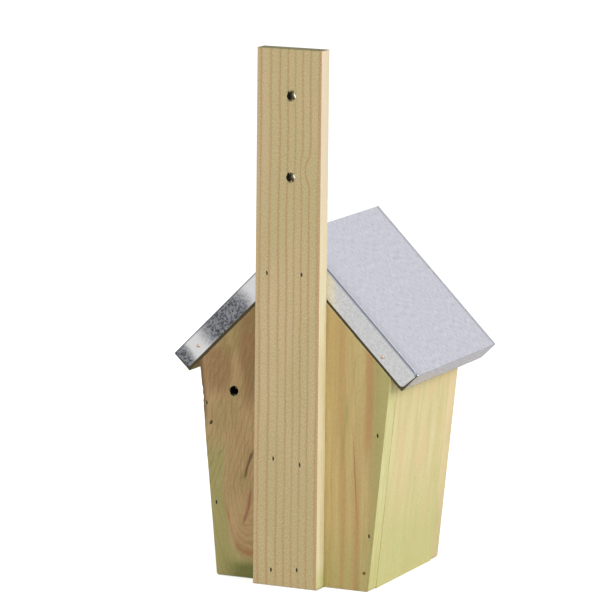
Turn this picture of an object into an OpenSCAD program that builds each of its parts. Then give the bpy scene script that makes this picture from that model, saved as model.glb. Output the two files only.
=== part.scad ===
// Wooden nest box on a hanging batten, with a roof of boards under folded zinc sheet.
// Millimetres. The entrance faces -Y, the batten is at the back (+Y), and Z is up.
// The origin is in the middle of the footprint, level with the bottom edges it stands on.
// Left and right are as seen by someone who faces the entrance.

/* [Batten] */
// Width of the hanging batten
batten_w = 52; // [48:1:60]
// Thickness of the batten
batten_t = 13; // [10:1:18]
// Length of the batten, which is also the full height
batten_len = 400; // [380:5:460]
// Bore of the two screw holes near the batten's upper end
screw_hole_d = 7; // [5:0.5:9]
// Distance between the two screw holes
screw_hole_pitch = 60; // [40:5:70]
// Distance from the upper screw hole to the batten's upper end
screw_hole_edge = 34; // [20:1:40]

/* [Body] */
// Thickness of the wall and floor boards
board_t = 14.5; // [14:0.5:17]
// Width across the bottom of the back and the front
base_w = 124.5; // [120:0.5:130]
// Outward lean of the two sides, in degrees
side_lean = 5.5; // [4:0.5:7]
// Depth of the body, from the back's outer face to the front's
body_d = 130; // [120:1:140]
// Height of the floor's underside above the bottom edges
floor_lift = 5; // [4:0.5:6]

/* [Roof] */
// Height of the ridge
ridge_z = 264; // [260:1:275]
// Pitch of the roof, in degrees
roof_pitch = 45; // [43:1:47]
// Length of each slope, from ridge to eave
slope_len = 140; // [134:1:146]
// Depth of the roof, from its back edge to its front edge
roof_d = 150; // [142:1:165]
// Thickness of the roof boards
roof_t = 17; // [16.5:0.5:20]
// Thickness of the zinc sheet
zinc_t = 0.6; // [0.5:0.1:0.8]
// Height of the flanges folded down along all four edges of the sheet
flange_h = 15.5; // [14.5:0.5:16]

/* [Openings] */
// Diameter of the round entrance in the front
entrance_d = 32; // [26:1:34]
// Height of the entrance's centre
entrance_z = 160; // [155:1:165]
// Diameter of the small vent hole in the back
vent_d = 7; // [5:0.5:8]
// Distance of the vent hole from the centre line
vent_x = 49; // [44:1:52]
// Height of the vent hole
vent_z = 141; // [130:1:150]

/* [Nails] */
// Shank of the lost-head nails that hold the boards
nail_d = 1.4; // [1.3:0.1:1.6]
// Head of those nails
nail_head_d = 1.8; // [1.7:0.1:2.4]
// How deep they are punched below the wood's face
nail_sink = 1.5; // [1:0.5:3]
// Head of the one nail that is left flush and has rusted
flush_head_d = 3.2; // [2.6:0.2:5]
// Head of the brads that pin the zinc flanges
brad_head_d = 2.8; // [2.4:0.1:3.4]
// Height of the brads' domed heads
brad_head_t = 0.9; // [0.6:0.1:1.2]

/* [Hidden] */
$fn = 48;
see_through = 1;    // how far a cutting shape runs past a face
nail_gap = 0.05;    // radial room for a nail in its hole
nail_tip_room = 0.3;
head_t = 0.8;       // thickness of a nail's head
brad_d = 1.4;
flange_tip_r = 2.5; // rounding of the flanges' free corners
fold_notch = 0.8;   // how far each flange stops short of the corner at the fold
tip_notch = 1.8;    // and at its tip
screw_hole_x = -1.5;

// Levels along Y, from the batten's back face to the roof's front edge and the brads' heads on it
back_y = (batten_t + roof_d + brad_head_t) / 2;
wall_back_y = back_y - batten_t;
wall_front_y = wall_back_y - body_d;
roof_front_y = wall_back_y - roof_d;

// Underside of the roof boards: its height on the centre line, and its fall to each side
under_apex_z = ridge_z - (zinc_t + roof_t) / cos(roof_pitch);
fall = tan(roof_pitch);
lean = tan(side_lean);
side_t = board_t / cos(side_lean);

// Half the width of the body at a height, to the sides' outer or inner faces
function outer_x(z) = base_w / 2 + z * lean;
function inner_x(z) = outer_x(z) - side_t;

// Height at which a leaning line that starts x out at the bottom meets the roof's underside
function meet_z(x) = (under_apex_z - x * fall) / (1 + lean * fall);

// A point in the roof's section: along the slope from the ridge, then inward from the sheet
function on_slope(along, inward) = [
    along * cos(roof_pitch) - inward * sin(roof_pitch),
    ridge_z - along * sin(roof_pitch) - inward * cos(roof_pitch)
];

// Nails and brads: [name, x, z, y of the face they are driven from, direction, length, kind]
INTO_BACK = -1;
INTO_FRONT = 1;
floor_nail_z = floor_lift + board_t / 2;
brad_face_y = wall_back_y + brad_head_t;
brad_front_y = roof_front_y - brad_head_t;
batten_roof_nails = [
    ["batten_nail_upper_left", -11, 235, back_y, INTO_BACK, 35, "wire"],
    ["batten_nail_upper_right", 17, 234, back_y, INTO_BACK, 35, "wire"]
];
batten_wall_nails = [
    ["batten_nail_middle_left", -11, 93, back_y, INTO_BACK, 25, "wire"],
    ["batten_nail_middle_right", 10.5, 96, back_y, INTO_BACK, 25, "wire"]
];
batten_floor_nails = [
    ["batten_nail_lower_left", -9.5, floor_nail_z + 1.5, back_y, INTO_BACK, 45, "wire"],
    ["batten_nail_lower_right", 11.5, floor_nail_z - 0.5, back_y, INTO_BACK, 45, "wire"]
];
back_left_nails = [
    ["back_nail_left_upper", -outer_x(118) + 6, 118, wall_back_y, INTO_BACK, 35, "wire"],
    ["back_nail_left_lower", -outer_x(42) + 4.5, 42, wall_back_y, INTO_BACK, 35, "wire"],
    ["back_nail_left_foot", -outer_x(14) + 5, 14, wall_back_y, INTO_BACK, 30, "flush"]
];
back_right_nails = [
    ["back_nail_right_upper", outer_x(130) - 3, 130, wall_back_y, INTO_BACK, 35, "wire"],
    ["back_nail_right_lower", outer_x(55) - 4.5, 55, wall_back_y, INTO_BACK, 35, "wire"]
];
front_left_nails = [
    ["front_nail_left_upper", -outer_x(125) + 5, 125, wall_front_y, INTO_FRONT, 35, "wire"],
    ["front_nail_left_lower", -outer_x(45) + 5, 45, wall_front_y, INTO_FRONT, 35, "wire"]
];
front_right_nails = [
    ["front_nail_right_upper", outer_x(125) - 5, 125, wall_front_y, INTO_FRONT, 35, "wire"],
    ["front_nail_right_lower", outer_x(45) - 5, 45, wall_front_y, INTO_FRONT, 35, "wire"]
];
front_floor_nails = [
    ["front_nail_floor_left", -25, floor_nail_z, wall_front_y, INTO_FRONT, 35, "wire"],
    ["front_nail_floor_right", 25, floor_nail_z, wall_front_y, INTO_FRONT, 35, "wire"]
];
left_brads = [
    ["brad_back_left", -71, 177, brad_face_y, INTO_BACK, 18, "brad"],
    ["brad_front_left", -75, 174, brad_front_y, INTO_FRONT, 18, "brad"]
];
right_brads = [
    ["brad_back_right", 78.5, 172.5, brad_face_y, INTO_BACK, 18, "brad"],
    ["brad_front_right", 75, 174, brad_front_y, INTO_FRONT, 18, "brad"]
];
batten_nails = concat(batten_roof_nails, batten_wall_nails, batten_floor_nails);
back_nails = concat(back_left_nails, back_right_nails);
front_nails = concat(front_left_nails, front_right_nails, front_floor_nails);
brads = concat(left_brads, right_brads);
all_nails = concat(batten_nails, back_nails, front_nails, brads);

BOARDS = [
    "batten", "back_panel", "front_panel", "left_side", "right_side", "floor_board",
    "roof_board_left", "roof_board_right", "zinc_roof"
];

function shank_d(kind) = kind == "brad" ? brad_d : nail_d;
function head_d(kind) = kind == "brad" ? brad_head_d : kind == "flush" ? flush_head_d : nail_head_d;
function head_h(kind) = kind == "brad" ? brad_head_t : head_t;
function sink(kind) = kind == "wire" ? nail_sink : 0;
function nail_colour(kind) = kind == "brad" ? [0.62, 0.4, 0.28] : kind == "flush" ? [0.4, 0.24, 0.15] : [0.3, 0.27, 0.24];

// Turns a section drawn in X and Z into a solid between two places along Y
module along_y(front, back) {
    translate([0, back, 0]) rotate([90, 0, 0]) linear_extrude(back - front) children();
}

// Puts its children at a nail's place, with +Z pointing the way the nail is driven
module at_nail(n) {
    translate([n[1], n[3], n[2]]) rotate([n[4] == INTO_BACK ? 90 : -90, 0, 0]) children();
}

// Domed head of a brad: a cap cut from a ball, with its flat side at the sheet
module dome() {
    ball_r = (pow(brad_head_d / 2, 2) + pow(brad_head_t, 2)) / (2 * brad_head_t);
    intersection() {
        translate([0, 0, ball_r]) sphere(r = ball_r);
        cylinder(h = brad_head_t, r = ball_r);
    }
}

// A nail: a straight shank under a flat or a domed head
module nail(n) {
    top = sink(n[6]);
    neck = top + head_h(n[6]) / 2;
    color(nail_colour(n[6])) at_nail(n) {
        translate([0, 0, neck]) cylinder(h = n[5] - neck, d = shank_d(n[6]));
        if (n[6] == "brad") dome();
        else translate([0, 0, top]) cylinder(h = head_h(n[6]), d = head_d(n[6]));
    }
}

// The room that each nail of a list takes up in a board, with the punched hole above its head
module nail_holes(list) {
    for (n = list) at_nail(n) {
        cylinder(h = n[5] + nail_tip_room, d = shank_d(n[6]) + 2 * nail_gap);
        translate([0, 0, -see_through])
            cylinder(h = see_through + sink(n[6]) + head_h(n[6]), d = head_d(n[6]) + 2 * nail_gap);
    }
}

// A round hole right through a board that faces Y
module hole_through(x, z, d, face_y, thick) {
    translate([x, face_y + see_through, z]) rotate([90, 0, 0])
        cylinder(h = thick + 2 * see_through, d = d);
}

// Five-sided outline of the back and the front
module gable_outline() {
    shoulder_z = meet_z(base_w / 2);
    shoulder_x = outer_x(shoulder_z);
    polygon([
        [-base_w / 2, 0], [base_w / 2, 0], [shoulder_x, shoulder_z],
        [0, under_apex_z], [-shoulder_x, shoulder_z]
    ]);
}

// Leaning section of the right side
module side_outline() {
    inner_start = base_w / 2 - side_t;
    outer_top = meet_z(base_w / 2);
    inner_top = meet_z(inner_start);
    polygon([
        [inner_start, 0], [base_w / 2, 0],
        [outer_x(outer_top), outer_top], [inner_x(inner_top), inner_top]
    ]);
}

// Section of the right roof board, mitred on the centre line
module roof_board_outline() {
    low = zinc_t + roof_t;
    polygon([
        on_slope(zinc_t * fall, zinc_t), on_slope(slope_len - zinc_t, zinc_t),
        on_slope(slope_len - zinc_t, low), on_slope(low * fall, low)
    ]);
}

// Notched and rounded end of a flange, as points [along the fold, away from the fold]
function flange_end(length) = concat(
    [[length - fold_notch, 0]],
    [for (a = [0:15:90]) [
        length - tip_notch - flange_tip_r * (1 - cos(a)),
        flange_h - flange_tip_r * (1 - sin(a))
    ]]
);

// Right half of the zinc sheet
module zinc_half() {
    along_y(roof_front_y, wall_back_y) polygon([
        on_slope(0, 0), on_slope(slope_len, 0),
        on_slope(slope_len, zinc_t), on_slope(zinc_t * fall, zinc_t)
    ]);
    for (y = [roof_front_y, wall_back_y - zinc_t]) along_y(y, y + zinc_t) polygon(concat(
        [on_slope(0, 0)],
        [for (p = flange_end(slope_len)) on_slope(p[0], p[1])],
        [on_slope(flange_h * fall, flange_h)]
    ));
    eave = on_slope(slope_len - zinc_t, 0);
    half_d = roof_d / 2;
    end = flange_end(half_d);
    translate([eave[0], roof_front_y + half_d, eave[1]]) rotate([0, 90 + roof_pitch, 0])
        linear_extrude(zinc_t) polygon(concat(
            [for (p = end) [p[1], p[0]]],
            [for (i = [len(end) - 1:-1:0]) [end[i][1], -end[i][0]]]
        ));
}

module batten() {
    color([0.72, 0.6, 0.42]) difference() {
        translate([-batten_w / 2, wall_back_y, 0]) cube([batten_w, batten_t, batten_len]);
        for (i = [0, 1])
            hole_through(screw_hole_x, batten_len - screw_hole_edge - i * screw_hole_pitch,
                screw_hole_d, back_y, batten_t);
        nail_holes(batten_nails);
    }
}

module back_panel() {
    color([0.66, 0.52, 0.35]) difference() {
        along_y(wall_back_y - board_t, wall_back_y) gable_outline();
        hole_through(vent_x, vent_z, vent_d, wall_back_y, board_t);
        nail_holes(concat(batten_wall_nails, batten_floor_nails, back_nails));
    }
}

module front_panel() {
    color([0.72, 0.62, 0.42]) difference() {
        along_y(wall_front_y, wall_front_y + board_t) gable_outline();
        hole_through(0, entrance_z, entrance_d, wall_front_y + board_t, board_t);
        nail_holes(front_nails);
    }
}

module right_side() {
    color([0.84, 0.8, 0.56]) difference() {
        along_y(wall_front_y + board_t, wall_back_y - board_t) side_outline();
        nail_holes(concat(back_right_nails, front_right_nails));
    }
}

module left_side() {
    color([0.84, 0.8, 0.56]) difference() {
        along_y(wall_front_y + board_t, wall_back_y - board_t) mirror([1, 0, 0]) side_outline();
        nail_holes(concat(back_left_nails, front_left_nails));
    }
}

module floor_board() {
    low = floor_lift;
    high = floor_lift + board_t;
    color([0.7, 0.58, 0.4]) difference() {
        along_y(wall_front_y + board_t, wall_back_y - board_t) polygon([
            [-inner_x(low), low], [inner_x(low), low],
            [inner_x(high), high], [-inner_x(high), high]
        ]);
        nail_holes(concat(batten_floor_nails, front_floor_nails));
    }
}

module roof_board_right() {
    color([0.6, 0.5, 0.38]) difference() {
        along_y(roof_front_y + zinc_t, wall_back_y - zinc_t) roof_board_outline();
        nail_holes(concat([batten_roof_nails[1]], right_brads));
    }
}

module roof_board_left() {
    color([0.6, 0.5, 0.38]) difference() {
        along_y(roof_front_y + zinc_t, wall_back_y - zinc_t) mirror([1, 0, 0]) roof_board_outline();
        nail_holes(concat([batten_roof_nails[0]], left_brads));
    }
}

module zinc_roof() {
    color([0.78, 0.79, 0.84]) difference() {
        union() {
            zinc_half();
            mirror([1, 0, 0]) zinc_half();
        }
        for (n = concat(batten_roof_nails, brads)) at_nail(n)
            cylinder(h = n[5], d = shank_d(n[6]) + 2 * nail_gap);
    }
}

batten();
back_panel();
front_panel();
left_side();
right_side();
floor_board();
roof_board_left();
roof_board_right();
zinc_roof();
for (n = all_nails) nail(n);
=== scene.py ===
# %% [markdown]
# # A nest box on a batten, with a zinc roof
# The box is eight sawn boards, a folded sheet of zinc, and twenty-one nails and brads.
# The frame brings every one of those pieces at its real size. This file gives them their surfaces:
# the saw-cut edges, the grain, the torn fibres round the drilled holes and the bends in the sheet.

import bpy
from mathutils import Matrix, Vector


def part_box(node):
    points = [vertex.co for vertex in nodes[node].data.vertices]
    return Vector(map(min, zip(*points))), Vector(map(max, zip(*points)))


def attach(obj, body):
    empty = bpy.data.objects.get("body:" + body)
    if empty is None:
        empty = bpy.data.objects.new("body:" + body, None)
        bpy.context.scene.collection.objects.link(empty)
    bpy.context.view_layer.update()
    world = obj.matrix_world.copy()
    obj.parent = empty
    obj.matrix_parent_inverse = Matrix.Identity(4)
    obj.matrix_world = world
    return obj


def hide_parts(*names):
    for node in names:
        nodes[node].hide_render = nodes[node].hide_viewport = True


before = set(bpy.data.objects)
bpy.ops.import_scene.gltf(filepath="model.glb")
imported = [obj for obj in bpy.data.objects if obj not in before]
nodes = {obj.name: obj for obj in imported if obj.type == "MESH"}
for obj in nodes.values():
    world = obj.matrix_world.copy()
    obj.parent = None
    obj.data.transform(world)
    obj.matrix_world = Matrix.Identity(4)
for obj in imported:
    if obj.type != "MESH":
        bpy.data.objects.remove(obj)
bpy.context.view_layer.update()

# %% [markdown]
# Lengths in this file are written in millimetres, because that is how the box is built.
# Blender works in metres, so `MM` turns one into the other. The main levels are read from the frame's
# own boxes. Knots, stains, streaks and the drilled holes' places are given further down.

# %% Measures taken from the frame
import bpy
import bmesh
import math
import random
from mathutils import Matrix, Quaternion, Vector, noise

MM = 0.001


def span(node, axis):
    """Lowest and highest place of a node along one axis, in millimetres."""
    low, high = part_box(node)
    return low[axis] / MM, high[axis] / MM


X, Y, Z = 0, 1, 2
batten_left, batten_right = span("batten", X)
batten_front, batten_back = span("batten", Y)
batten_top = span("batten", Z)[1]
wall_inner, wall_back = span("back_panel", Y)
front_face, front_inner = span("front_panel", Y)
gable_half, gable_top = span("back_panel", X)[1], span("back_panel", Z)[1]
roof_half = span("zinc_roof", X)[1]
roof_front, roof_back = span("zinc_roof", Y)
eave_tip, ridge = span("zinc_roof", Z)
print("ridge", round(ridge, 1), "roof half", round(roof_half, 1), "back face", round(wall_back, 2))

# %% [markdown]
# The foot of a gable isn't in its box, so it is read from the corners of its mesh: the widest corner
# that lies on the level the box stands on.

# %% The gable's five corners
def half_width_at_foot(node):
    """Half the width of a node along its lowest edge, in millimetres."""
    corners = [v.co / MM for v in nodes[node].data.vertices]
    return max(abs(c.x) for c in corners if c.z < 0.01)


foot_half = half_width_at_foot("back_panel")
shoulder = gable_top - gable_half
GABLE = [(-foot_half, 0), (foot_half, 0), (gable_half, shoulder),
         (0, gable_top), (-gable_half, shoulder)]
print("gable foot", round(foot_half, 2), "shoulder height", round(shoulder, 1))

# %% [markdown]
# The camera stands behind the box, a little to one side and a little above, a long way off with a
# long lens. A long lens keeps upright edges nearly parallel, which suits a product picture.
# `to_track_quat` turns the camera towards its aim, and a small roll is added after it.

# %% Camera
CAMERA_PLACE = Vector((-1348, 2973, 768)) * MM
CAMERA_AIM = Vector((27.6, 0, 200.7)) * MM
CAMERA_ROLL = 0.594
CAMERA_LENS = 265.5

camera = bpy.data.objects.new("camera", bpy.data.cameras.new("camera"))
bpy.context.scene.collection.objects.link(camera)
camera.data.lens = CAMERA_LENS
camera.data.sensor_width = 36
camera.location = CAMERA_PLACE
camera.rotation_mode = "QUATERNION"
roll = Quaternion((0, 0, 1), math.radians(CAMERA_ROLL))
camera.rotation_quaternion = (CAMERA_AIM - CAMERA_PLACE).to_track_quat("-Z", "Y") @ roll
bpy.context.scene.camera = camera
bpy.context.scene.view_settings.view_transform = "Standard"
print("camera", round((CAMERA_AIM - CAMERA_PLACE).length, 2), "m away")

# %% [markdown]
# Shader maths reads best as plain arithmetic. `Wire` wraps one output socket, so that
# `1 - wire * 2` adds the Math nodes that work it out. `Finish` owns a material's node tree and adds
# every other kind of node through one method: settings first, then the values or wires of its inputs.

# %% Wires and finishes
DULL_SPECULAR = 0.18


class Wire:
    """One output socket, which arithmetic turns into Math nodes."""

    def __init__(self, finish, socket):
        self.finish = finish
        self.socket = socket

    def math(self, operation, *values):
        inputs = {place: value for place, value in enumerate(values)}
        return self.finish.add("ShaderNodeMath", {"operation": operation}, inputs)

    def __add__(self, other):
        return self.math("ADD", self, other)

    def __sub__(self, other):
        return self.math("SUBTRACT", self, other)

    def __rsub__(self, other):
        return self.math("SUBTRACT", other, self)

    def __mul__(self, other):
        return self.math("MULTIPLY", self, other)

    def __truediv__(self, other):
        return self.math("DIVIDE", self, other)

    def __pow__(self, other):
        return self.math("POWER", self, other)

    def __abs__(self):
        return self.math("ABSOLUTE", self)

    __radd__ = __add__
    __rmul__ = __mul__

    def low(self, other):
        return self.math("MINIMUM", self, other)

    def high(self, other):
        return self.math("MAXIMUM", self, other)

    def fraction(self):
        return self.math("FRACT", self)

    def step(self, start, end):
        """0 below start, 1 above end, and smooth between. With end under start it runs the other way."""
        low, high = (start, end) if start < end else (end, start)
        rise = (0, 1) if start < end else (1, 0)
        return self.finish.add("ShaderNodeMapRange", {"interpolation_type": "SMOOTHSTEP"}, {
            "Value": self, "From Min": low, "From Max": high, "To Min": rise[0], "To Max": rise[1]})

    def bump_at(self, centre, reach):
        """1 at a place on this wire, falling smoothly to 0 at a reach to each side."""
        return abs(self - centre).step(reach, 0)


class Finish:
    """The node tree of one material, or of a world that is passed as its owner."""

    def __init__(self, name, owner=None):
        self.material = owner or bpy.data.materials.new(name)
        self.material.use_nodes = True
        self.tree = self.material.node_tree
        self.tree.nodes.clear()

    def add(self, kind, settings=None, inputs=None, out=0):
        """Adds a node, sets it up, plugs its inputs and gives back one of its outputs."""
        node = self.tree.nodes.new(kind)
        for name, value in (settings or {}).items():
            setattr(node, name, value)
        for name, value in (inputs or {}).items():
            self.plug(value, node.inputs[name])
        return Wire(self, node.outputs[out]) if node.outputs else None

    def plug(self, value, socket):
        if isinstance(value, Wire):
            self.tree.links.new(value.socket, socket)
        elif socket.type == "RGBA":
            socket.default_value = (*value[:3], 1)
        else:
            socket.default_value = value

    def mix(self, amount, first, second):
        """A colour between two colours."""
        return self.add("ShaderNodeMix", {"data_type": "RGBA"}, {0: amount, 6: first, 7: second}, out=2)

    def vector(self, x, y, z):
        return self.add("ShaderNodeCombineXYZ", None, {0: x, 1: y, 2: z})

    def place(self):
        """The place on the object, as three wires in millimetres."""
        spot = self.add("ShaderNodeTexCoord", None, None, out=3)
        apart = [self.add("ShaderNodeSeparateXYZ", None, {0: spot}, out=axis) for axis in (0, 1, 2)]
        return [wire * (1 / MM) for wire in apart]

    def facing(self):
        """The way the surface faces, as three wires."""
        normal = self.add("ShaderNodeNewGeometry", None, None, out=1)
        return [self.add("ShaderNodeSeparateXYZ", None, {0: normal}, out=axis) for axis in (0, 1, 2)]

    def cloud(self, at, size, detail=2, seed=0):
        """Soft noise from 0 to 1 with patches of about this size, in millimetres, along each axis."""
        x, y, z = at
        spot = self.vector(x / size[0] + seed, y / size[1], z / size[2])
        return self.add("ShaderNodeTexNoise", None, {"Vector": spot, "Scale": 1.0, "Detail": detail})

    def close(self, colour, roughness, height=None, depth=0.1, metallic=0.0):
        """Ends the tree in a Principled surface. A height, in units of depth, gives it relief."""
        inputs = {"Base Color": colour, "Roughness": roughness, "Metallic": metallic,
                  "Specular IOR Level": DULL_SPECULAR}
        if height is not None:
            inputs["Normal"] = self.add("ShaderNodeBump", None, {
                "Height": height, "Distance": depth * MM, "Strength": 1.0})
        surface = self.add("ShaderNodeBsdfPrincipled", None, inputs)
        self.add("ShaderNodeOutputMaterial", None, {"Surface": surface})
        return self.material


print("shader helpers ready")

# %% [markdown]
# The batten is a strip of spruce, sawn so that its growth rings cross the wide face as eight nearly
# straight orange lines. Painted stripes would look printed, so the rings are a solid pattern:
# a place's distance across the board picks its ring, and slow noise lets the rings wander.
# A knot hidden near the right edge pushes them aside, as knots do.

# %% Batten wood
SCREW_X, SCREW_R = -1.5, 3.5
SCREW_DROPS = (34, 94)
SCREW_HOLES = tuple(batten_top - drop for drop in SCREW_DROPS)
RING_WIDTH = 6.67
FIRST_RING = 1.5
KNOT_X, KNOT_Z = batten_left + 11.0, 312.0


def saw_fuzz(finish, at, tilt=0.5):
    """The slanting nap that a saw leaves on a board, from 0 to 1."""
    x, y, z = at
    slant = (x + y, y, z + x * tilt)
    return finish.cloud(slant, (0.55, 2.0, 1.5), 2, seed=3)


def streak(at, x0, z0, length, width, lean=0.0):
    """A narrow pointed streak along the grain, 1 in its middle."""
    x, _, z = at
    off = x - x0 - (z - z0) * lean
    along = (z - z0).bump_at(0, length / 2)
    return (abs(off) / width).step(1.0, 0.1) * along.step(0.0, 0.5)


def patch(at, x0, z0, half_x, half_z):
    """A soft oval patch, 1 in its middle."""
    x, _, z = at
    far = ((x - x0) / half_x) ** 2 + ((z - z0) / half_z) ** 2
    return far.step(1.0, 0.15)


def batten_wood():
    f = Finish("batten_wood")
    x, y, z = at = f.place()
    nx, ny, nz = f.facing()
    wander = (f.cloud((x, y, z), (26, 60, 55), 1) - 0.5) * 2.6
    ripple = (f.cloud((x, y, z), (6, 20, 14), 1, seed=9) - 0.5) * 0.7
    knot = (KNOT_X - x).bump_at(0, 9) * (z - KNOT_Z).bump_at(0, 15)
    across = batten_right - x + wander + ripple + knot * 4.0
    squeeze = (across - 21).bump_at(0, 24) * 2.2
    count = (across - squeeze - FIRST_RING + y * 0.06) / RING_WIDTH
    saw = (count + 0.5).fraction() - 0.5
    line = abs(saw).step(0.17, 0.02)
    halo = abs(saw + 0.06).step(0.34, 0.04)
    strength = f.cloud((x, y, z), (9, 30, 120), 1, seed=5).step(0.2, 0.62)

    age = f.cloud(at, (30, 30, 90), 2, seed=2) + z.step(200, 20) * 0.15
    wood = f.mix(age.step(0.3, 0.7), (0.68, 0.53, 0.3), (0.6, 0.49, 0.25))
    warm = (x - batten_right + 9).step(-3, 9) * 0.55
    wood = f.mix(warm, wood, (0.64, 0.475, 0.27))
    wood = f.mix(halo * 0.45, wood, (0.6, 0.43, 0.215))
    wood = f.mix(line * (strength * 0.4 + 0.42), wood, (0.54, 0.32, 0.14))
    arris = (batten_left + 3.2 - x).step(0, 2.4) * ny.step(0.2, 0.7)
    wood = f.mix(arris * 0.7, wood, (0.6, 0.37, 0.2))
    fuzz = saw_fuzz(f, at)
    wood = f.mix(fuzz.step(0.45, 0.7) * 0.42, wood, (0.85, 0.71, 0.45))
    wood = f.mix(fuzz.step(0.5, 0.26) * 0.5, wood, (0.34, 0.3, 0.12))
    speck = f.cloud(at, (0.9, 0.9, 1.6), 1, seed=21).step(0.7, 0.78)
    wood = f.mix(speck * 0.5, wood, (0.3, 0.24, 0.1))

    planed = f.cloud(at, (3, 3, 40), 2, seed=4)
    cream = f.mix(planed.step(0.35, 0.65), (0.85, 0.77, 0.51), (0.79, 0.7, 0.43))
    cream = f.mix(z.step(180, 340), cream, (0.78, 0.655, 0.46))
    cream = f.mix(z.step(22, 4) * 0.6, cream, (0.6, 0.6, 0.22))
    wood = f.mix(abs(nx).step(0.45, 0.8), wood, cream)
    pores = f.cloud(at, (1.5, 1.5, 1.5), 2).step(0.35, 0.65)
    grey_end = f.mix(pores, (0.2, 0.2, 0.1), (0.33, 0.31, 0.17))
    end = f.mix(line * 0.5, grey_end, (0.25, 0.14, 0.07))
    wood = f.mix(abs(nz).step(0.5, 0.85), wood, end)

    # Deeper in the screw holes the wall turns near black: painted shade inside the holes.
    painted_hole_shade = (y + f.cloud(at, (1.1, 3, 1.1), 2, seed=14) * 6).step(79, 74)
    near_hole = patch(at, SCREW_X, SCREW_HOLES[0], 7, 7).high(patch(at, SCREW_X, SCREW_HOLES[1], 7, 7))
    inside = abs(ny).step(0.5, 0.2) * near_hole.step(0, 0.2)
    wood = f.mix(inside, wood, f.mix(painted_hole_shade, (0.03, 0.024, 0.012), (0.5, 0.42, 0.22)))

    relief = fuzz * 0.6 + line * 0.5
    return f.close(wood, 0.78, relief, depth=0.16)


batten_finish = batten_wood()
print("batten wood:", len(batten_finish.node_tree.nodes), "nodes")

# %% [markdown]
# The back is one wide pine board with most of its stories told: pressure treatment has turned the pale
# sapwood green and left the heartwood brown, so where the saw ran through the edge of the heart there
# is a rounded brown tongue in a green field. The tongue is drawn as one distance from its centre line:
# straight above, and closed by a half ellipse below. Streaks, resin and a dark waney edge come on top.

# %% Back wood
VENT_X, VENT_Z, VENT_R = 49.0, 141.0, 3.5
TONGUE_X, TONGUE_HALF = 36.0, 20.0
TONGUE_TURN, TONGUE_FOOT = 70.0, 17.0


def fine_grain(finish, at, seed=0):
    """Close upright grain, from 0 to 1."""
    x, y, z = at
    return finish.cloud((x, y, z), (0.9, 3.0, 34), 3, seed=seed)


def brown_half(f, x, y, z, at):
    """The half with the brown tongue: its colour, and the two patterns that give it relief."""
    bend_x, _, bend_z = at
    below = (TONGUE_TURN - bend_z).high(0) * (TONGUE_HALF / (TONGUE_TURN - TONGUE_FOOT))
    flow = ((bend_x - TONGUE_X) ** 2 + below ** 2) ** 0.5
    rings = (flow / 2.9 + f.cloud(at, (5, 20, 40), 1, seed=1) * 1.6).fraction()
    late = rings.step(0.35, 0.95) * rings.step(1.0, 0.93)
    grain = fine_grain(f, (flow, y, bend_z))

    heart = f.mix(grain.step(0.3, 0.7), (0.47, 0.31, 0.145), (0.56, 0.395, 0.19))
    heart = f.mix(late * 0.28, heart, (0.38, 0.2, 0.095))
    red = patch(at, 34, 178, 14, 60) * 0.7 + patch(at, 62, 160, 13, 30) * 0.6
    heart = f.mix(red.low(0.85), heart, (0.3, 0.155, 0.067))
    olive = patch(at, 54, 182, 14, 22) * 0.6 + patch(at, 60, 120, 7, 16) * 0.5
    heart = f.mix(olive.low(0.7), heart, (0.33, 0.26, 0.095))
    sap = f.mix(grain.step(0.3, 0.7), (0.39, 0.35, 0.13), (0.45, 0.41, 0.16))
    outside = (flow - TONGUE_HALF).step(-0.8, 2.4)
    low_down = bend_z.step(112, 88)
    left_half = f.mix(outside * low_down * 0.9, heart, sap)
    rim = (flow - TONGUE_HALF + 0.9).bump_at(0, 1.6) * bend_z.step(62, 40)
    left_half = f.mix(rim * 0.7, left_half, (0.36, 0.17, 0.07))
    blush = patch(at, 48, 38, 6, 22) * 0.5
    left_half = f.mix(blush, left_half, (0.6, 0.4, 0.21))
    foot = bend_z.step(17, 9) * x.step(60, 40)
    left_half = f.mix(foot * 0.85, left_half, (0.17, 0.185, 0.05))
    resin = streak(at, 36.0, 86, 30, 2.2, -0.3)
    left_half = f.mix(resin * 0.8, left_half, (0.1, 0.055, 0.028))
    ruddy = streak(at, 36.5, 54, 40, 1.9, -0.2)
    left_half = f.mix(ruddy * 0.7, left_half, (0.32, 0.11, 0.08))
    sway = f.cloud((x, y, z), (17, 20, 42), 2, seed=41) * 3.6
    vein = ((bend_x * 0.8 + z * 0.22) / 3.1 + sway).fraction()
    vein = vein.step(0.6, 0.97) * vein.step(1.0, 0.96) * z.step(50, 80)
    left_half = f.mix(vein * 0.3, left_half, (0.2, 0.1, 0.045))
    cloudy = f.cloud((x, y, z), (10, 20, 20), 3, seed=44)
    left_half = f.mix(cloudy.step(0.5, 0.75) * 0.4 * z.step(55, 80), left_half, (0.56, 0.4, 0.2))
    left_half = f.mix(cloudy.step(0.48, 0.3) * 0.35 * z.step(55, 80), left_half, (0.3, 0.27, 0.09))
    knot = patch((x, y, z + x * 0.6), 67.4, 156.1, 1.5, 1.8)
    left_half = f.mix((knot * 1.5).low(0.95), left_half, (0.03, 0.02, 0.012))
    bark = (x - z * 0.0963 - foot_half + 5.5).step(0, 5) * patch((x, y, z), 74, 146, 30, 36)
    left_half = f.mix(bark * 0.85, left_half, (0.15, 0.065, 0.032))
    return left_half, late * 0.2 + grain * 0.3


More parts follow.
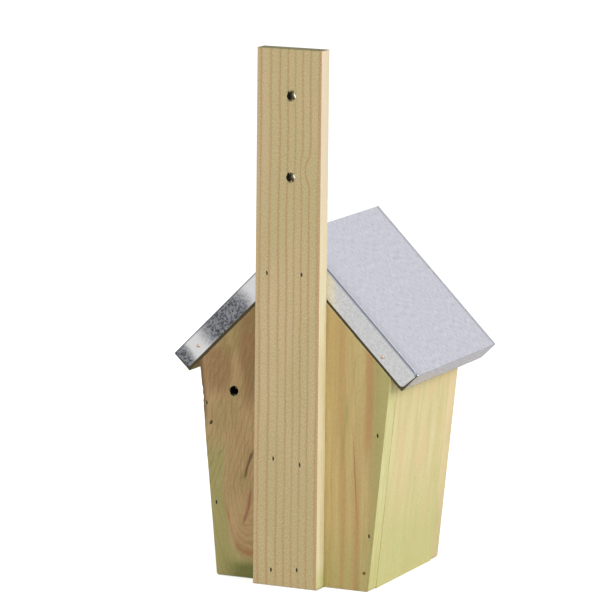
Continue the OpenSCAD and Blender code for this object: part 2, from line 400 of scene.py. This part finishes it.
def yellow_half(f, x, y, z, bend_x):
    """The other half: yellower, with upright stripes."""
    stripe = f.cloud((bend_x, y, z), (4.2, 20, 200), 2, seed=11)
    fine = fine_grain(f, (x + (z - 90) * 0.02, y, z), seed=4)
    tan = f.mix(stripe.step(0.35, 0.65), (0.66, 0.52, 0.225), (0.6, 0.43, 0.18))
    tan = f.mix(fine.step(0.4, 0.7) * 0.35, tan, (0.52, 0.38, 0.17))
    green_tint = (x + 64).step(6, -3) * 0.7 + z.step(60, 10) * 0.45
    tan = f.mix(green_tint.low(0.8), tan, (0.44, 0.41, 0.155))
    bend = (z - 60).bump_at(0, 90) * 3
    rose = (x + 61 - bend * 0.6).bump_at(0, 5.5) * z.step(80, 130)
    rose = rose + (x + 51 + bend * 0.4).bump_at(0, 4) * z.step(120, 40) * 0.7
    rose = rose + (x + 38.5 + bend).bump_at(0, 3.5) * 0.45
    tan = f.mix(rose.low(0.8), tan, (0.53, 0.3, 0.125))
    thread = (x + 49.5 + (z - 100) * -0.06).bump_at(0, 0.9) * (z - 85).bump_at(0, 50)
    tan = f.mix(thread * 0.75, tan, (0.42, 0.14, 0.07))
    moss = f.cloud((x + z * 0.05, y, z), (5, 20, 60), 3, seed=53).step(0.5, 0.72)
    tan = f.mix(moss * 0.5, tan, (0.36, 0.33, 0.11))
    shadowed = (x + 30).step(-3, 3) * z.step(120, 210)
    return f.mix(shadowed * 0.22, tan, (0.44, 0.28, 0.12))


def back_wood():
    f = Finish("back_wood")
    x, y, z = f.place()
    _, ny, nz = f.facing()
    bend_x = x + (f.cloud((x, y, z), (16, 40, 45), 2) - 0.5) * 7
    bend_z = z + (f.cloud((x, y, z), (14, 40, 22), 2, seed=7) - 0.5) * 12
    brown, relief = brown_half(f, x, y, z, (bend_x, y, bend_z))
    wood = f.mix(x.step(-8, 8), yellow_half(f, x, y, z, bend_x), brown)
    fuzz = saw_fuzz(f, (x, y, z), 0.3)
    wood = f.mix(fuzz.step(0.5, 0.8) * 0.16, wood, (0.72, 0.58, 0.34))
    wood = f.mix(fuzz.step(0.48, 0.25) * 0.2, wood, (0.26, 0.18, 0.08))
    speck = f.cloud((x, y, z), (0.8, 0.8, 1.4), 1, seed=31).step(0.71, 0.78)
    wood = f.mix(speck * 0.45, wood, (0.16, 0.09, 0.04))

    edge_grain = f.cloud((x, y, z), (2, 1.4, 50), 2, seed=6)
    edge = f.mix(edge_grain.step(0.35, 0.65), (0.74, 0.7, 0.35), (0.64, 0.6, 0.27))
    edge = f.mix(z.step(60, 5) * 0.5, edge, (0.56, 0.52, 0.2))
    wood = f.mix(abs(ny).step(0.8, 0.45), wood, edge)
    wood = f.mix((nz * -1).step(0.6, 0.9), wood, (0.3, 0.28, 0.11))
    # The walls of the vent hole are near black: painted shade inside the hole.
    painted_hole_shade = patch((x, y, z), VENT_X, VENT_Z, 6, 6) * abs(ny).step(0.7, 0.4)
    wood = f.mix((painted_hole_shade * 4).low(1), wood, (0.004, 0.003, 0.002))
    return f.close(wood, 0.72, fuzz * 0.5 + relief, depth=0.14)


back_finish = back_wood()
print("back wood:", len(back_finish.node_tree.nodes), "nodes")

# %% [markdown]
# The sides, the front, the floor and the roof boards are cut from plainer sapwood. One recipe serves
# them all: two tones along the grain, faint rosy stripes, a green tint from the treatment that grows
# towards the foot, and the fuzz of the saw. Each board passes its own tones and the axis that its grain
# follows, so that no two boards look stamped from one plank.

# %% Plain boards
def plain_wood(name, pale, deep, rosy, green, along=Z, seed=0, rosy_amount=0.5,
               green_from=(120, 0), end=None, edge=None):
    """Sapwood whose grain runs along one axis, with its own tones for end grain and side edges."""
    f = Finish(name)
    spot = f.place()
    facing = f.facing()
    x, y, z = spot
    order = [axis for axis in (X, Y, Z) if axis != along]
    a, b, run = spot[order[0]], spot[order[1]], spot[along]
    drift = (f.cloud((a, b, run), (22, 22, 60), 2, seed=seed) - 0.5) * 6
    a, b = a + drift, b + drift
    tone = f.cloud((a, b, run), (7, 7, 150), 2, seed=seed + 2)
    wood = f.mix(tone.step(0.3, 0.7), pale, deep)
    stripe = f.cloud((a, b, run), (2.6, 2.6, 120), 2, seed=seed + 5)
    blush = f.cloud((a, b, run + a * 1.5), (15, 15, 45), 2, seed=seed + 6).step(0.48, 0.68)
    wood = f.mix((stripe.step(0.55, 0.72) + blush) * rosy_amount, wood, rosy)
    fine = f.cloud((a, b, run), (0.8, 0.8, 30), 3, seed=seed + 8)
    wood = f.mix(fine.step(0.45, 0.75) * 0.3, wood, deep)
    stain = f.cloud((x, y, z), (18, 18, 40), 2, seed=seed + 1)
    tint = z.step(*green_from) * 0.6 + stain.step(0.5, 0.75) * 0.35
    wood = f.mix(tint.low(0.85), wood, green)
    fuzz = f.cloud((a, b, run), (0.5, 0.5, 1.6), 2, seed=seed + 3)
    wood = f.mix(fuzz.step(0.52, 0.75) * 0.3, wood, (0.9, 0.82, 0.55))
    wood = f.mix(fuzz.step(0.48, 0.25) * 0.3, wood, (0.42, 0.36, 0.14))
    speck = f.cloud((x, y, z), (0.8, 0.8, 1.2), 1, seed=seed + 13).step(0.73, 0.79)
    wood = f.mix(speck * 0.3, wood, (0.3, 0.2, 0.1))
    if edge is not None:
        edge = f.mix(tint.low(0.85) * 0.7, edge, green)
        wood = f.mix(abs(facing[X]).step(0.6, 0.9), wood, edge)
    if end is not None:
        wood = f.mix(abs(facing[along]).step(0.6, 0.9), wood, end)
    return f.close(wood, 0.74, fuzz * 0.5 + fine * 0.4, depth=0.12)


side_wood = plain_wood("side_wood", (0.78, 0.68, 0.37), (0.7, 0.6, 0.29), (0.8, 0.6, 0.33),
                       (0.56, 0.57, 0.23), seed=40, rosy_amount=0.6, green_from=(110, 20),
                       end=(0.45, 0.42, 0.18))
front_wood = plain_wood("front_wood", (0.68, 0.54, 0.28), (0.6, 0.46, 0.22), (0.55, 0.34, 0.17),
                        (0.47, 0.46, 0.18), seed=60, rosy_amount=0.6, end=(0.4, 0.36, 0.16),
                        edge=(0.82, 0.66, 0.38))
floor_wood = plain_wood("floor_wood", (0.62, 0.5, 0.27), (0.52, 0.42, 0.2), (0.5, 0.34, 0.18),
                        (0.42, 0.42, 0.17), along=Y, seed=80, end=(0.4, 0.36, 0.16))
# The roof boards get much darker tones than the other sapwood, and a near-black end: painted shade under
# the zinc and in the groove under its flange.
roof_wood = plain_wood("roof_wood", (0.38, 0.28, 0.14), (0.28, 0.2, 0.09), (0.34, 0.2, 0.1),
                       (0.22, 0.2, 0.07), along=Y, seed=100, green_from=(300, 150),
                       end=(0.09, 0.07, 0.035))
print("plain boards:", side_wood.name, front_wood.name, floor_wood.name, roof_wood.name)

# %% [markdown]
# Galvanised sheet is a mirror with a skin: crystals of zinc catch the light by patches, rolling leaves
# fine streaks, and handling leaves specks. The metal is fully metallic with a low roughness, so that it
# picks up the cream edge of the batten beside it. The left flange is painted lighter, a painted
# highlight, and on it the crystals show as dark slate patches: painted reflection of dark surroundings
# in its slight bend.

# %% Zinc sheet
def zinc_sheet():
    f = Finish("zinc_sheet")
    x, y, z = f.place()
    ny = f.facing()[Y]
    drop = z * -1 + ridge
    down = (abs(x) + drop) * math.sqrt(0.5)
    off = (drop - abs(x)) * math.sqrt(0.5)
    streaks = f.cloud((y + down * 0.12, 0.0, down), (0.7, 1, 4), 3, seed=2)
    mottle = f.cloud((x, y, z), (3.2, 3.2, 3.2), 3, seed=5)
    metal = f.mix(mottle.step(0.3, 0.7), (0.73, 0.73, 0.82), (0.79, 0.79, 0.87))
    metal = f.mix(streaks.step(0.45, 0.66) * 0.85, metal, (0.54, 0.54, 0.62))
    metal = f.mix(streaks.step(0.44, 0.28) * 0.75, metal, (0.93, 0.93, 0.98))
    speck = f.cloud((x, y, z), (1.2, 1.2, 2.0), 1, seed=8).step(0.72, 0.79)
    metal = f.mix(speck * 0.55, metal, (0.3, 0.29, 0.3))

    # Painted reflection: the sheet darkens over the last 16 mm towards its rear fold.
    painted_reflection_near_fold = (y - roof_back).step(-16, -2)
    metal = f.mix(painted_reflection_near_fold * 0.6, metal, (0.56, 0.56, 0.62))

    gable = abs(ny).step(0.5, 0.9)
    crystal = f.add("ShaderNodeTexVoronoi", {"feature": "F1"}, {
        "Vector": f.vector(off / 1.1, y, down / 1.5), "Scale": 1.0, "Randomness": 1.0}, out=1)
    grit = f.cloud((off, y, down), (1.0, 3, 1.6), 4, seed=12)
    shade = f.add("ShaderNodeSeparateXYZ", None, {0: crystal}) * 0.45 + grit * 0.75
    flange = f.mix(shade.step(0.3, 0.85), (0.74, 0.74, 0.75), (0.88, 0.88, 0.89))
    # Painted highlight: the left gable flange, at positive x, is lightened to near white.
    flange = f.mix(x.step(0, 4) * 0.8, flange, (0.97, 0.97, 0.98))
    flange = f.mix(speck * 0.35, flange, (0.3, 0.3, 0.3))
    # Painted reflection: large patches times the crystal pattern darken the left flange, standing for
    # dark surroundings mirrored in its slight bend.
    painted_dark_reflection = patch((down, y, off), 88, 9, 31, 26).high(patch((down, y, off), 139, 6, 14, 26))
    painted_dark_reflection = painted_dark_reflection * x.step(0, 4) * ny.step(0, 0.5)
    dark = f.mix(shade.step(0.32, 0.85), (0.08, 0.084, 0.1), (0.38, 0.385, 0.41))
    flange = f.mix(painted_dark_reflection, flange, dark)
    metal = f.mix(gable, metal, flange)

    # Painted reflection: a dark band over the bend of the rear gable fold.
    painted_fold_reflection = (off - 0.3).bump_at(0, 1.5) * abs(y - roof_back + 0.4).step(2.4, 1.3)
    metal = f.mix(painted_fold_reflection * 0.9, metal, (0.13, 0.15, 0.18))
    worn = f.cloud((x, y, z), (2, 5, 2), 2, seed=17).step(0.35, 0.6)
    eave = (down - roof_half * math.sqrt(2)).bump_at(0, 0.9)
    metal = f.mix(eave * worn * 0.6, metal, (0.5, 0.43, 0.38))
    rough = mottle * 0.1 + streaks * 0.1 + 0.2
    relief = streaks * 0.35 + mottle * 0.6 + grit * 0.25
    return f.close(metal, rough, relief, depth=0.035, metallic=1.0)


zinc = zinc_sheet()
print("zinc:", len(zinc.node_tree.nodes), "nodes")

# %% [markdown]
# The small metal has three finishes: dark steel for the punched nails, copper-washed steel for the
# brads, and rust for the one nail that was left in the weather.

# %% Nail metals
def small_metal(name, bright, dull, rough, metallic=1.0):
    f = Finish(name)
    at = f.place()
    blotch = f.cloud(at, (0.6, 0.6, 0.6), 3, seed=1)
    colour = f.mix(blotch.step(0.35, 0.65), bright, dull)
    return f.close(colour, blotch * 0.3 + rough, blotch, depth=0.05, metallic=metallic)


nail_steel = small_metal("nail_steel", (0.09, 0.08, 0.07), (0.035, 0.03, 0.025), 0.4, 0.6)
coppered = small_metal("coppered_steel", (0.82, 0.6, 0.48), (0.62, 0.4, 0.3), 0.08)
rust = small_metal("rusty_steel", (0.3, 0.13, 0.05), (0.2, 0.075, 0.03), 0.6, 0.2)
print("metals:", nail_steel.name, coppered.name, rust.name)

# %% [markdown]
# A sawn board is never a perfect box: its arrises are rubbed round and its edges wander by a hair.
# A filled 2D curve makes one in a single step. The outline and the holes are its splines, `extrude`
# gives the thickness and `bevel_depth` the rubbed arris, pulled back by `offset` so that the board keeps
# its size. The outline is walked in short steps, and noise nudges each one sideways.

# %% A sawn board with holes
def show_piece(name, mesh, material):
    """Shows a mesh as one piece of the object, with its material and its slot in the record."""
    mesh.materials.clear()
    mesh.materials.append(material)
    piece = bpy.data.objects.new(name, mesh)
    bpy.context.scene.collection.objects.link(piece)
    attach(piece, "root")
    print(name, len(mesh.vertices), "points")
    return piece


def as_mesh(name, bm):
    """Turns a bmesh into a mesh and frees it."""
    mesh = bpy.data.meshes.new(name)
    bm.to_mesh(mesh)
    bm.free()
    return mesh


def walk(corners, step=2.0, rough=0.12, wear=None):
    """Points along a closed outline, each nudged inward by the wander of the saw."""
    points = []
    for index, start in enumerate(corners):
        end = corners[(index + 1) % len(corners)]
        a, b = Vector(start), Vector(end)
        count = max(2, int((b - a).length / step))
        inward = Vector((-(b - a).y, (b - a).x)).normalized()
        for k in range(count):
            spot = a.lerp(b, k / count)
            near_corner = min(k, count - k) * (b - a).length / count
            nudge = rough * (0.5 + 0.5 * noise.noise(Vector((spot.x * 0.14, spot.y * 0.14, index))))
            if wear is not None:
                nudge += wear(spot)
            if near_corner < 0.5:
                nudge = 0.0
            points.append(spot + inward * nudge)
    return points


def ring(x, z, half_x, half_z, ragged=0.0, count=28, seed=0):
    """Points round an oval hole whose rim may be ragged."""
    points = []
    for k in range(count):
        angle = 2 * math.pi * k / count
        swell = 1 + ragged * noise.noise(Vector((math.cos(angle) * 1.7, math.sin(angle) * 1.7, seed)))
        points.append(Vector((x + half_x * swell * math.cos(angle),
                              z + half_z * swell * math.sin(angle))))
    return points


def sawn_board(name, splines, back, front, arris, finish):
    """A board that faces Y, drawn in X and Z and extruded from one place along Y to another."""
    curve = bpy.data.curves.new(name, "CURVE")
    curve.dimensions = "2D"
    curve.fill_mode = "BOTH"
    curve.extrude = ((back - front) / 2 - arris) * MM
    curve.bevel_depth = arris * MM
    curve.bevel_resolution = 2
    curve.offset = -arris * MM
    for points in splines:
        spline = curve.splines.new("POLY")
        spline.points.add(len(points) - 1)
        spline.use_cyclic_u = True
        for point, spot in zip(spline.points, points):
            point.co = (spot.x * MM, spot.y * MM, 0, 1)
    drawn = bpy.data.objects.new(name + "_drawn", curve)
    bpy.context.scene.collection.objects.link(drawn)
    flat = drawn.evaluated_get(bpy.context.evaluated_depsgraph_get())
    mesh = bpy.data.meshes.new_from_object(flat)
    bpy.data.objects.remove(drawn)
    upright = Matrix.Rotation(math.pi / 2, 4, "X")
    mesh.transform(Matrix.Translation((0, (back + front) / 2 * MM, 0)) @ upright)
    return show_piece(name, mesh, finish)


print("board tools ready")

# %% [markdown]
# The places of the nails come from the frame, so each board gets an upright slot where each nail was
# punched in. The screw holes look torn, as if drilled from the other side, so their rims are ragged.

# %% The batten and the two gable boards
def centre(node):
    """The middle of a node's box, in millimetres."""
    low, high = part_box(node)
    return (low + high) / 2 / MM


def punched(names, half_x=0.95, half_z=1.6):
    """An oval hole, as ring points, round each of these nails."""
    return [ring(centre(n).x, centre(n).z, half_x, half_z, 0.25, 16, seed)
            for seed, n in enumerate(names)]


def named(*starts):
    """The frame's nodes whose names start like this, in order."""
    return sorted(n for n in nodes if n.startswith(starts))


batten_outline = walk([(batten_left, 0), (batten_right, 0),
                       (batten_right, batten_top), (batten_left, batten_top)])
batten_rings = [ring(SCREW_X, z, SCREW_R, SCREW_R + 0.3, 0.22, 40, z) for z in SCREW_HOLES]
batten = sawn_board("batten_board", [batten_outline] + batten_rings + punched(named("batten_nail")),
                    batten_back, batten_front, 0.45, batten_finish)
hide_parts("batten")

BARK_Z, BARK_REACH = 138, 34


def waney(spot):
    """Bites out of the back's edge where the bark once was."""
    if spot.x < foot_half:
        return 0.0
    bark = max(0.0, 1 - abs(spot.y - BARK_Z) / BARK_REACH)
    return bark * (0.5 + 0.9 * abs(noise.noise(Vector((0, spot.y * 0.16, 4)))))


def eased(corners, radius=2.0):
    """The outline with its two lower corners rounded."""
    left = Vector(corners[0])
    arc = [left + Vector((radius * (1 - math.cos(a)), radius * (1 - math.sin(a))))
           for a in (0.0, 0.5, 1.07, 1.57)]
    other = [Vector((-p.x, p.y)) for p in reversed(arc)]
    return [tuple(p) for p in arc + other] + list(corners[2:])


back_outline = walk(eased(GABLE), rough=0.2, wear=waney)
vent = ring(VENT_X, VENT_Z, VENT_R, VENT_R + 0.2, 0.1, 36, 2)
back_nails = named("back_nail_left_upper", "back_nail_left_lower", "back_nail_right")
back_board = sawn_board("back_board", [back_outline, vent] + punched(back_nails), wall_back, wall_inner,
                        0.5, back_finish)
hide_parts("back_panel")

ENTRANCE_Z, ENTRANCE_R = 160, 16
entrance = ring(0, ENTRANCE_Z, ENTRANCE_R, ENTRANCE_R, 0.01, 72, 5)
front_board = sawn_board("front_board", [walk(eased(GABLE)), entrance] + punched(named("front_nail")),
                         front_inner, front_face, 0.6, front_wood)
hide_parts("front_panel")

# %% [markdown]
# The other boards keep the frame's own shape. A narrow bevel modifier rubs their arrises, so that a thin
# dark line shows where two boards meet.

# %% Boards that keep the frame's shape
def finish_node(name, material, bevel=0.0):
    """Gives a node of the frame its material and, if asked, a rubbed arris."""
    node = nodes[name]
    node.data.materials.clear()
    node.data.materials.append(material)
    if bevel:
        soft = node.modifiers.new("arris", "BEVEL")
        soft.width = bevel * MM
        soft.segments = 2
        soft.limit_method = "ANGLE"
        soft.angle_limit = math.radians(40)
        soft.use_clamp_overlap = True


for name in ("left_side", "right_side"):
    finish_node(name, side_wood, 0.5)
finish_node("floor_board", floor_wood, 0.5)
for name in ("roof_board_left", "roof_board_right"):
    finish_node(name, roof_wood, 0.4)
for name in named("batten_nail", "back_nail", "front_nail"):
    finish_node(name, nail_steel)
print("frame pieces finished")

# %% [markdown]
# The sheet was folded in a brake: crisp bends of about a millimetre at the ridge, the eaves and the
# gables, with notches at the corners so that the flanges can turn. Each surface is a grid of points
# worked out from how far it runs down the slope and how far it has turned round a bend. `Solidify`
# then gives the grids the thickness of the sheet, inwards.

# %% Folded zinc
SLOPE = roof_half * math.sqrt(2)
FLANGE = (ridge - roof_half - eave_tip) * math.sqrt(2)
BEND = 1.1
RIDGE_BEND = 1.2
RIDGE_ROUND = 0.42
SHEET = 0.6
CELLS = 30
NOTCH_FOLD, NOTCH_TIP, TIP_R = 0.8, 1.8, 2.5


def on_roof(down, inward, y, side):
    """A place on one slope: down it from the ridge, then inward from the sheet's face."""
    s = math.sqrt(0.5)
    return Vector((side * (down - inward) * s, y, ridge - (down + inward) * s)) * MM


def bend_profile(steps=5):
    """Round a fold: pairs of how far short of the edge, and how far inward."""
    turn = [math.pi / 2 * k / steps for k in range(steps + 1)]
    bend = [(BEND * (1 - math.sin(t)), BEND * (1 - math.cos(t))) for t in turn]
    depth = [FLANGE - TIP_R * (1 - math.sin(math.pi / 2 * k / 5)) for k in range(6)]
    straight = [BEND + (depth[0] - BEND) * k / 6 for k in range(1, 6)]
    return bend + [(0.0, d) for d in straight + depth]


def flange_reach(inward):
    """How far a flange stops short of the corner at some depth, with its free corner rounded."""
    notch = NOTCH_FOLD + (NOTCH_TIP - NOTCH_FOLD) * min(1, inward / (FLANGE - TIP_R))
    over = max(0.0, inward - (FLANGE - TIP_R)) / TIP_R
    return notch + TIP_R * (1 - math.sqrt(max(0.0, 1 - over * over)))


def buckle(spot, amount):
    """The slow unevenness of a hand-folded sheet."""
    return amount * noise.noise(spot / MM * 0.035)


def add_grid(bm, rows, cols, place):
    """Adds a grid of faces whose corners are place(row, column)."""
    grid = [[bm.verts.new(place(i, j)) for j in range(cols + 1)] for i in range(rows + 1)]
    for i in range(rows):
        for j in range(cols):
            bm.faces.new((grid[i][j], grid[i][j + 1], grid[i + 1][j + 1], grid[i + 1][j]))


def top_sheet(bm, side):
    """The flat of one slope, from just below the ridge to just above the eave."""
    def place(i, j):
        down = RIDGE_BEND + (SLOPE - BEND - RIDGE_BEND) * i / CELLS
        y = roof_front + BEND + (roof_back - roof_front - 2 * BEND) * j / CELLS
        spot = on_roof(down, 0, y, side)
        calm = min(1, min(i, CELLS - i, j, CELLS - j) / 5)
        return on_roof(down, -buckle(spot, 0.22) * calm + 0.05 * calm, y, side)
    add_grid(bm, CELLS, CELLS, place)


def eave_flange(bm, side):
    """The bend and the flange at the foot of one slope."""
    profile = bend_profile()

    def place(i, j):
        short, inward = profile[i]
        half = (roof_back - roof_front) / 2 - max(BEND, flange_reach(inward))
        y = (roof_back + roof_front) / 2 + half * (2 * j / CELLS - 1)
        return on_roof(SLOPE - short, inward, y, side)
    add_grid(bm, len(profile) - 1, CELLS, place)


def gable_flange(bm, side, edge, out):
    """The bend and the flange at one end of one slope."""
    profile = bend_profile()

    def place(i, j):
        short, inward = profile[i]
        reach = max(flange_reach(inward), BEND if inward < BEND else 0)
        down = inward + (SLOPE - reach - inward) * j / (2 * CELLS)
        spot = on_roof(down, inward, edge, side)
        wave = max(0.0, 0.12 + buckle(spot, 0.3)) * min(1, inward / 8)
        return on_roof(down, inward, edge - out * (short + wave), side)
    add_grid(bm, len(profile) - 1, 2 * CELLS, place)


def ridge_bend(bm):
    """The soft bend that joins the two slopes."""
    def place(i, j):
        angle = math.radians(-45 + 90 * i / 8)
        radius = RIDGE_BEND / math.tan(math.radians(22.5)) * RIDGE_ROUND
        y = roof_front + BEND + (roof_back - roof_front - 2 * BEND) * j / CELLS
        left, right = on_roof(RIDGE_BEND, 0, y, -1), on_roof(RIDGE_BEND, 0, y, 1)
        rise = (math.cos(angle) - math.cos(math.radians(45))) * radius * MM
        return left.lerp(right, i / 8) + Vector((0, 0, rise))
    add_grid(bm, 8, CELLS, place)


print("slope", round(SLOPE, 1), "mm, flange", round(FLANGE, 1), "mm")

# %% [markdown]
# The grids meet along shared edges, so merging their doubled points makes one sheet. Every face is
# then turned to look away from a point inside the roof, which is the side `Solidify` leaves alone.

# %% The zinc cover
def zinc_cover():
    bm = bmesh.new()
    for side in (-1, 1):
        top_sheet(bm, side)
        eave_flange(bm, side)
        gable_flange(bm, side, roof_back, 1)
        gable_flange(bm, side, roof_front, -1)
    ridge_bend(bm)
    bmesh.ops.remove_doubles(bm, verts=bm.verts, dist=0.02 * MM)
    middle = Vector((0, (roof_front + roof_back) / 2, ridge - 60)) * MM
    for face in bm.faces:
        face.normal_update()
        if face.normal.dot(face.calc_center_median() - middle) < 0:
            face.normal_flip()
        face.smooth = True
    cover = show_piece("zinc_cover", as_mesh("zinc_cover", bm), zinc)
    thick = cover.modifiers.new("sheet", "SOLIDIFY")
    thick.thickness = SHEET * MM
    thick.offset = -1
    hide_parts("zinc_roof")


zinc_cover()

# %% [markdown]
# A brad's head is a small turned dome. Spinning a half outline round its axis is the natural way to make
# anything turned: here a rim, a low dome and the dimple that the hammer left.

# %% Domed brads
def turned(name, outline, place, axis_sign, material, count=28):
    """Spins an outline of (radius, height) pairs about an axis along Y."""
    bm = bmesh.new()
    rings = []
    for radius, height in outline:
        rings.append([bm.verts.new(place * MM + Vector((
            radius * math.cos(2 * math.pi * k / count), axis_sign * height,
            radius * math.sin(2 * math.pi * k / count))) * MM) for k in range(count)])
    for lower, upper in zip(rings, rings[1:]):
        for k in range(count):
            bm.faces.new((lower[k], lower[(k + 1) % count], upper[(k + 1) % count], upper[k]))
    bm.faces.new(rings[-1])
    bm.faces.new(list(reversed(rings[0])))
    bmesh.ops.recalc_face_normals(bm, faces=bm.faces)
    for face in bm.faces:
        face.smooth = True
    return show_piece(name, as_mesh(name, bm), material)


DOME = [(0.7, -12.0), (0.7, -0.6), (1.35, -0.1), (1.4, 0.15), (1.25, 0.5), (0.95, 0.74), (0.55, 0.86),
        (0.3, 0.84), (0.12, 0.78)]
for name in named("brad_"):
    out = 1 if "back" in name else -1
    edge = roof_back if out > 0 else roof_front
    place = Vector((centre(name).x, edge, centre(name).z))
    head = turned(name + "_domed", DOME, place, out, coppered)
    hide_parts(name)
print("brads:", len(named("brad_")))

RUST_BUTTON = [(0.5, -10.0), (0.6, -1.0), (1.2, -0.2), (1.25, 0.04), (0.9, 0.14), (0.4, 0.17)]
foot_nail = centre("back_nail_left_foot")
foot_place = Vector((foot_nail.x, wall_back, foot_nail.z))
rusty = turned("rusty_foot_nail", RUST_BUTTON, foot_place, 1, rust)
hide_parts("back_nail_left_foot")

# %% [markdown]
# Where a drill breaks out of wet wood it lifts fibres instead of cutting them. Each fibre is a thin
# pointed sliver that leans over the rim: a few dozen of them, scattered by a seeded generator, tell the
# eye that the hole is drilled and not printed.

# %% Torn fibres
def sliver(bm, root, tip, width, lift):
    """A curved three-sided sliver in X and Z that rises from the face and narrows to a point."""
    along = tip - root
    side = Vector((-along.z, 0, along.x)).normalized() * width / 2
    rings = []
    for k in range(4):
        t = k / 4
        spot = root + along * t + Vector((0, lift * math.sin(t * 1.8), 0))
        narrow = 1 - t * 0.8
        rings.append([bm.verts.new(p * MM) for p in (
            spot + side * narrow, spot - side * narrow, spot + Vector((0, 0.25 * narrow, 0)))])
    end = bm.verts.new((tip + Vector((0, lift, 0))) * MM)
    for lower, upper in zip(rings, rings[1:]):
        for k in range(3):
            bm.faces.new((lower[k], lower[(k + 1) % 3], upper[(k + 1) % 3], upper[k]))
    for k in range(3):
        bm.faces.new((rings[-1][k], rings[-1][(k + 1) % 3], end))
    bm.faces.new(list(reversed(rings[0])))


def torn_fibres(name, holes, face_y, material, seed):
    """Slivers round holes of (x, z, radius, count), most of them above and below, along the grain."""
    rng = random.Random(seed)
    bm = bmesh.new()
    for x, z, radius, count in holes:
        for _ in range(count):
            up = rng.choice((-1, 1))
            angle = up * math.pi / 2 + rng.gauss(0, 0.6)
            root = Vector((x + radius * 1.1 * math.cos(angle), face_y - 0.15,
                           z + radius * 1.1 * math.sin(angle)))
            reach = rng.uniform(0.25, 0.75) * radius
            tip = root + Vector((rng.uniform(-0.6, 0.6), 0, -up * reach))
            tail = root + Vector((rng.uniform(-0.3, 0.3), 0, up * reach * 0.7))
            sliver(bm, tail, tip, rng.uniform(0.25, 0.6), rng.uniform(0.0, 0.5))
    bmesh.ops.recalc_face_normals(bm, faces=bm.faces)
    show_piece(name, as_mesh(name, bm), material)


fibre_wood = plain_wood("torn_fibre", (0.62, 0.62, 0.34), (0.42, 0.42, 0.2), (0.6, 0.5, 0.3),
                        (0.45, 0.5, 0.22), seed=120)
screw_rims = [(SCREW_X, z, SCREW_R, 16) for z in SCREW_HOLES]
torn_fibres("screw_hole_fibres", screw_rims, batten_back, fibre_wood, 3)
vent_rim = [(VENT_X, VENT_Z, VENT_R + 0.3, 14)]
torn_fibres("vent_hole_fibres", vent_rim, wall_back, fibre_wood, 8)

# %% [markdown]
# A product picture stands on white. The world is one plain pale tone and the floor is a large pale
# plane. A broad key lamp stands on the right of the view and a weaker fill lamp above the camera. Light
# Path shows camera and mirrored rays a brighter world, at strength 1, so that the zinc has a bright room
# to mirror. The floor glows to the camera only, which whitens it and still leaves a soft shadow.

# %% Floor and light
AMBIENT = 0.66
FLOOR_GLOW = 0.62
FLOOR_REACH = 14.0
FLOOR_DROP = 0.3


def white_room():
    """A plain pale world that lights the object softly and is brighter where it is seen or mirrored."""
    world = bpy.data.worlds.new("white_room")
    bpy.context.scene.world = world
    f = Finish("white_room", world)
    camera_ray = f.add("ShaderNodeLightPath", out="Is Camera Ray")
    mirror_ray = f.add("ShaderNodeLightPath", out="Is Glossy Ray")
    glass_ray = f.add("ShaderNodeLightPath", out="Is Transmission Ray")
    seen = camera_ray.high(mirror_ray).high(glass_ray)
    light = f.add("ShaderNodeBackground", None, {"Strength": seen * (1 - AMBIENT) + AMBIENT})
    f.add("ShaderNodeOutputWorld", None, {"Surface": light})


def soft_lamp(name, place, aim, size, watts):
    lamp = bpy.data.objects.new(name, bpy.data.lights.new(name, "AREA"))
    bpy.context.scene.collection.objects.link(lamp)
    lamp.data.size = size
    lamp.data.energy = watts
    lamp.location = place
    lamp.rotation_mode = "QUATERNION"
    lamp.rotation_quaternion = (Vector(aim) - Vector(place)).to_track_quat("-Z", "Y")


def pale_floor():
    f = Finish("pale_floor")
    path = f.add("ShaderNodeLightPath")
    lift = f.add("ShaderNodeEmission", None, {"Color": (1, 1, 1), "Strength": FLOOR_GLOW})
    matte = f.add("ShaderNodeBsdfDiffuse", None, {"Color": (0.9, 0.9, 0.9)})
    both = f.add("ShaderNodeAddShader", None, {0: matte, 1: lift})
    seen = f.add("ShaderNodeMixShader", None, {0: path, 1: matte, 2: both})
    f.add("ShaderNodeOutputMaterial", None, {"Surface": seen})
    mesh = bpy.data.meshes.new("pale_floor")
    r = FLOOR_REACH
    mesh.from_pydata([(-r, -r, 0), (r, -r, 0), (r, r, 0), (-r, r, 0)], [], [(0, 1, 2, 3)])
    mesh.materials.append(f.material)
    floor = bpy.data.objects.new("pale_floor", mesh)
    bpy.context.scene.collection.objects.link(floor)
    floor.location.z = -FLOOR_DROP * MM


white_room()
pale_floor()
soft_lamp("key", (-2.7, 0.3, 1.5), (0, 0, 0.2), 1.8, 40)
soft_lamp("fill", (-0.6, 3.0, 1.6), (0, 0, 0.2), 2.2, 19)
print("room and lamps ready")
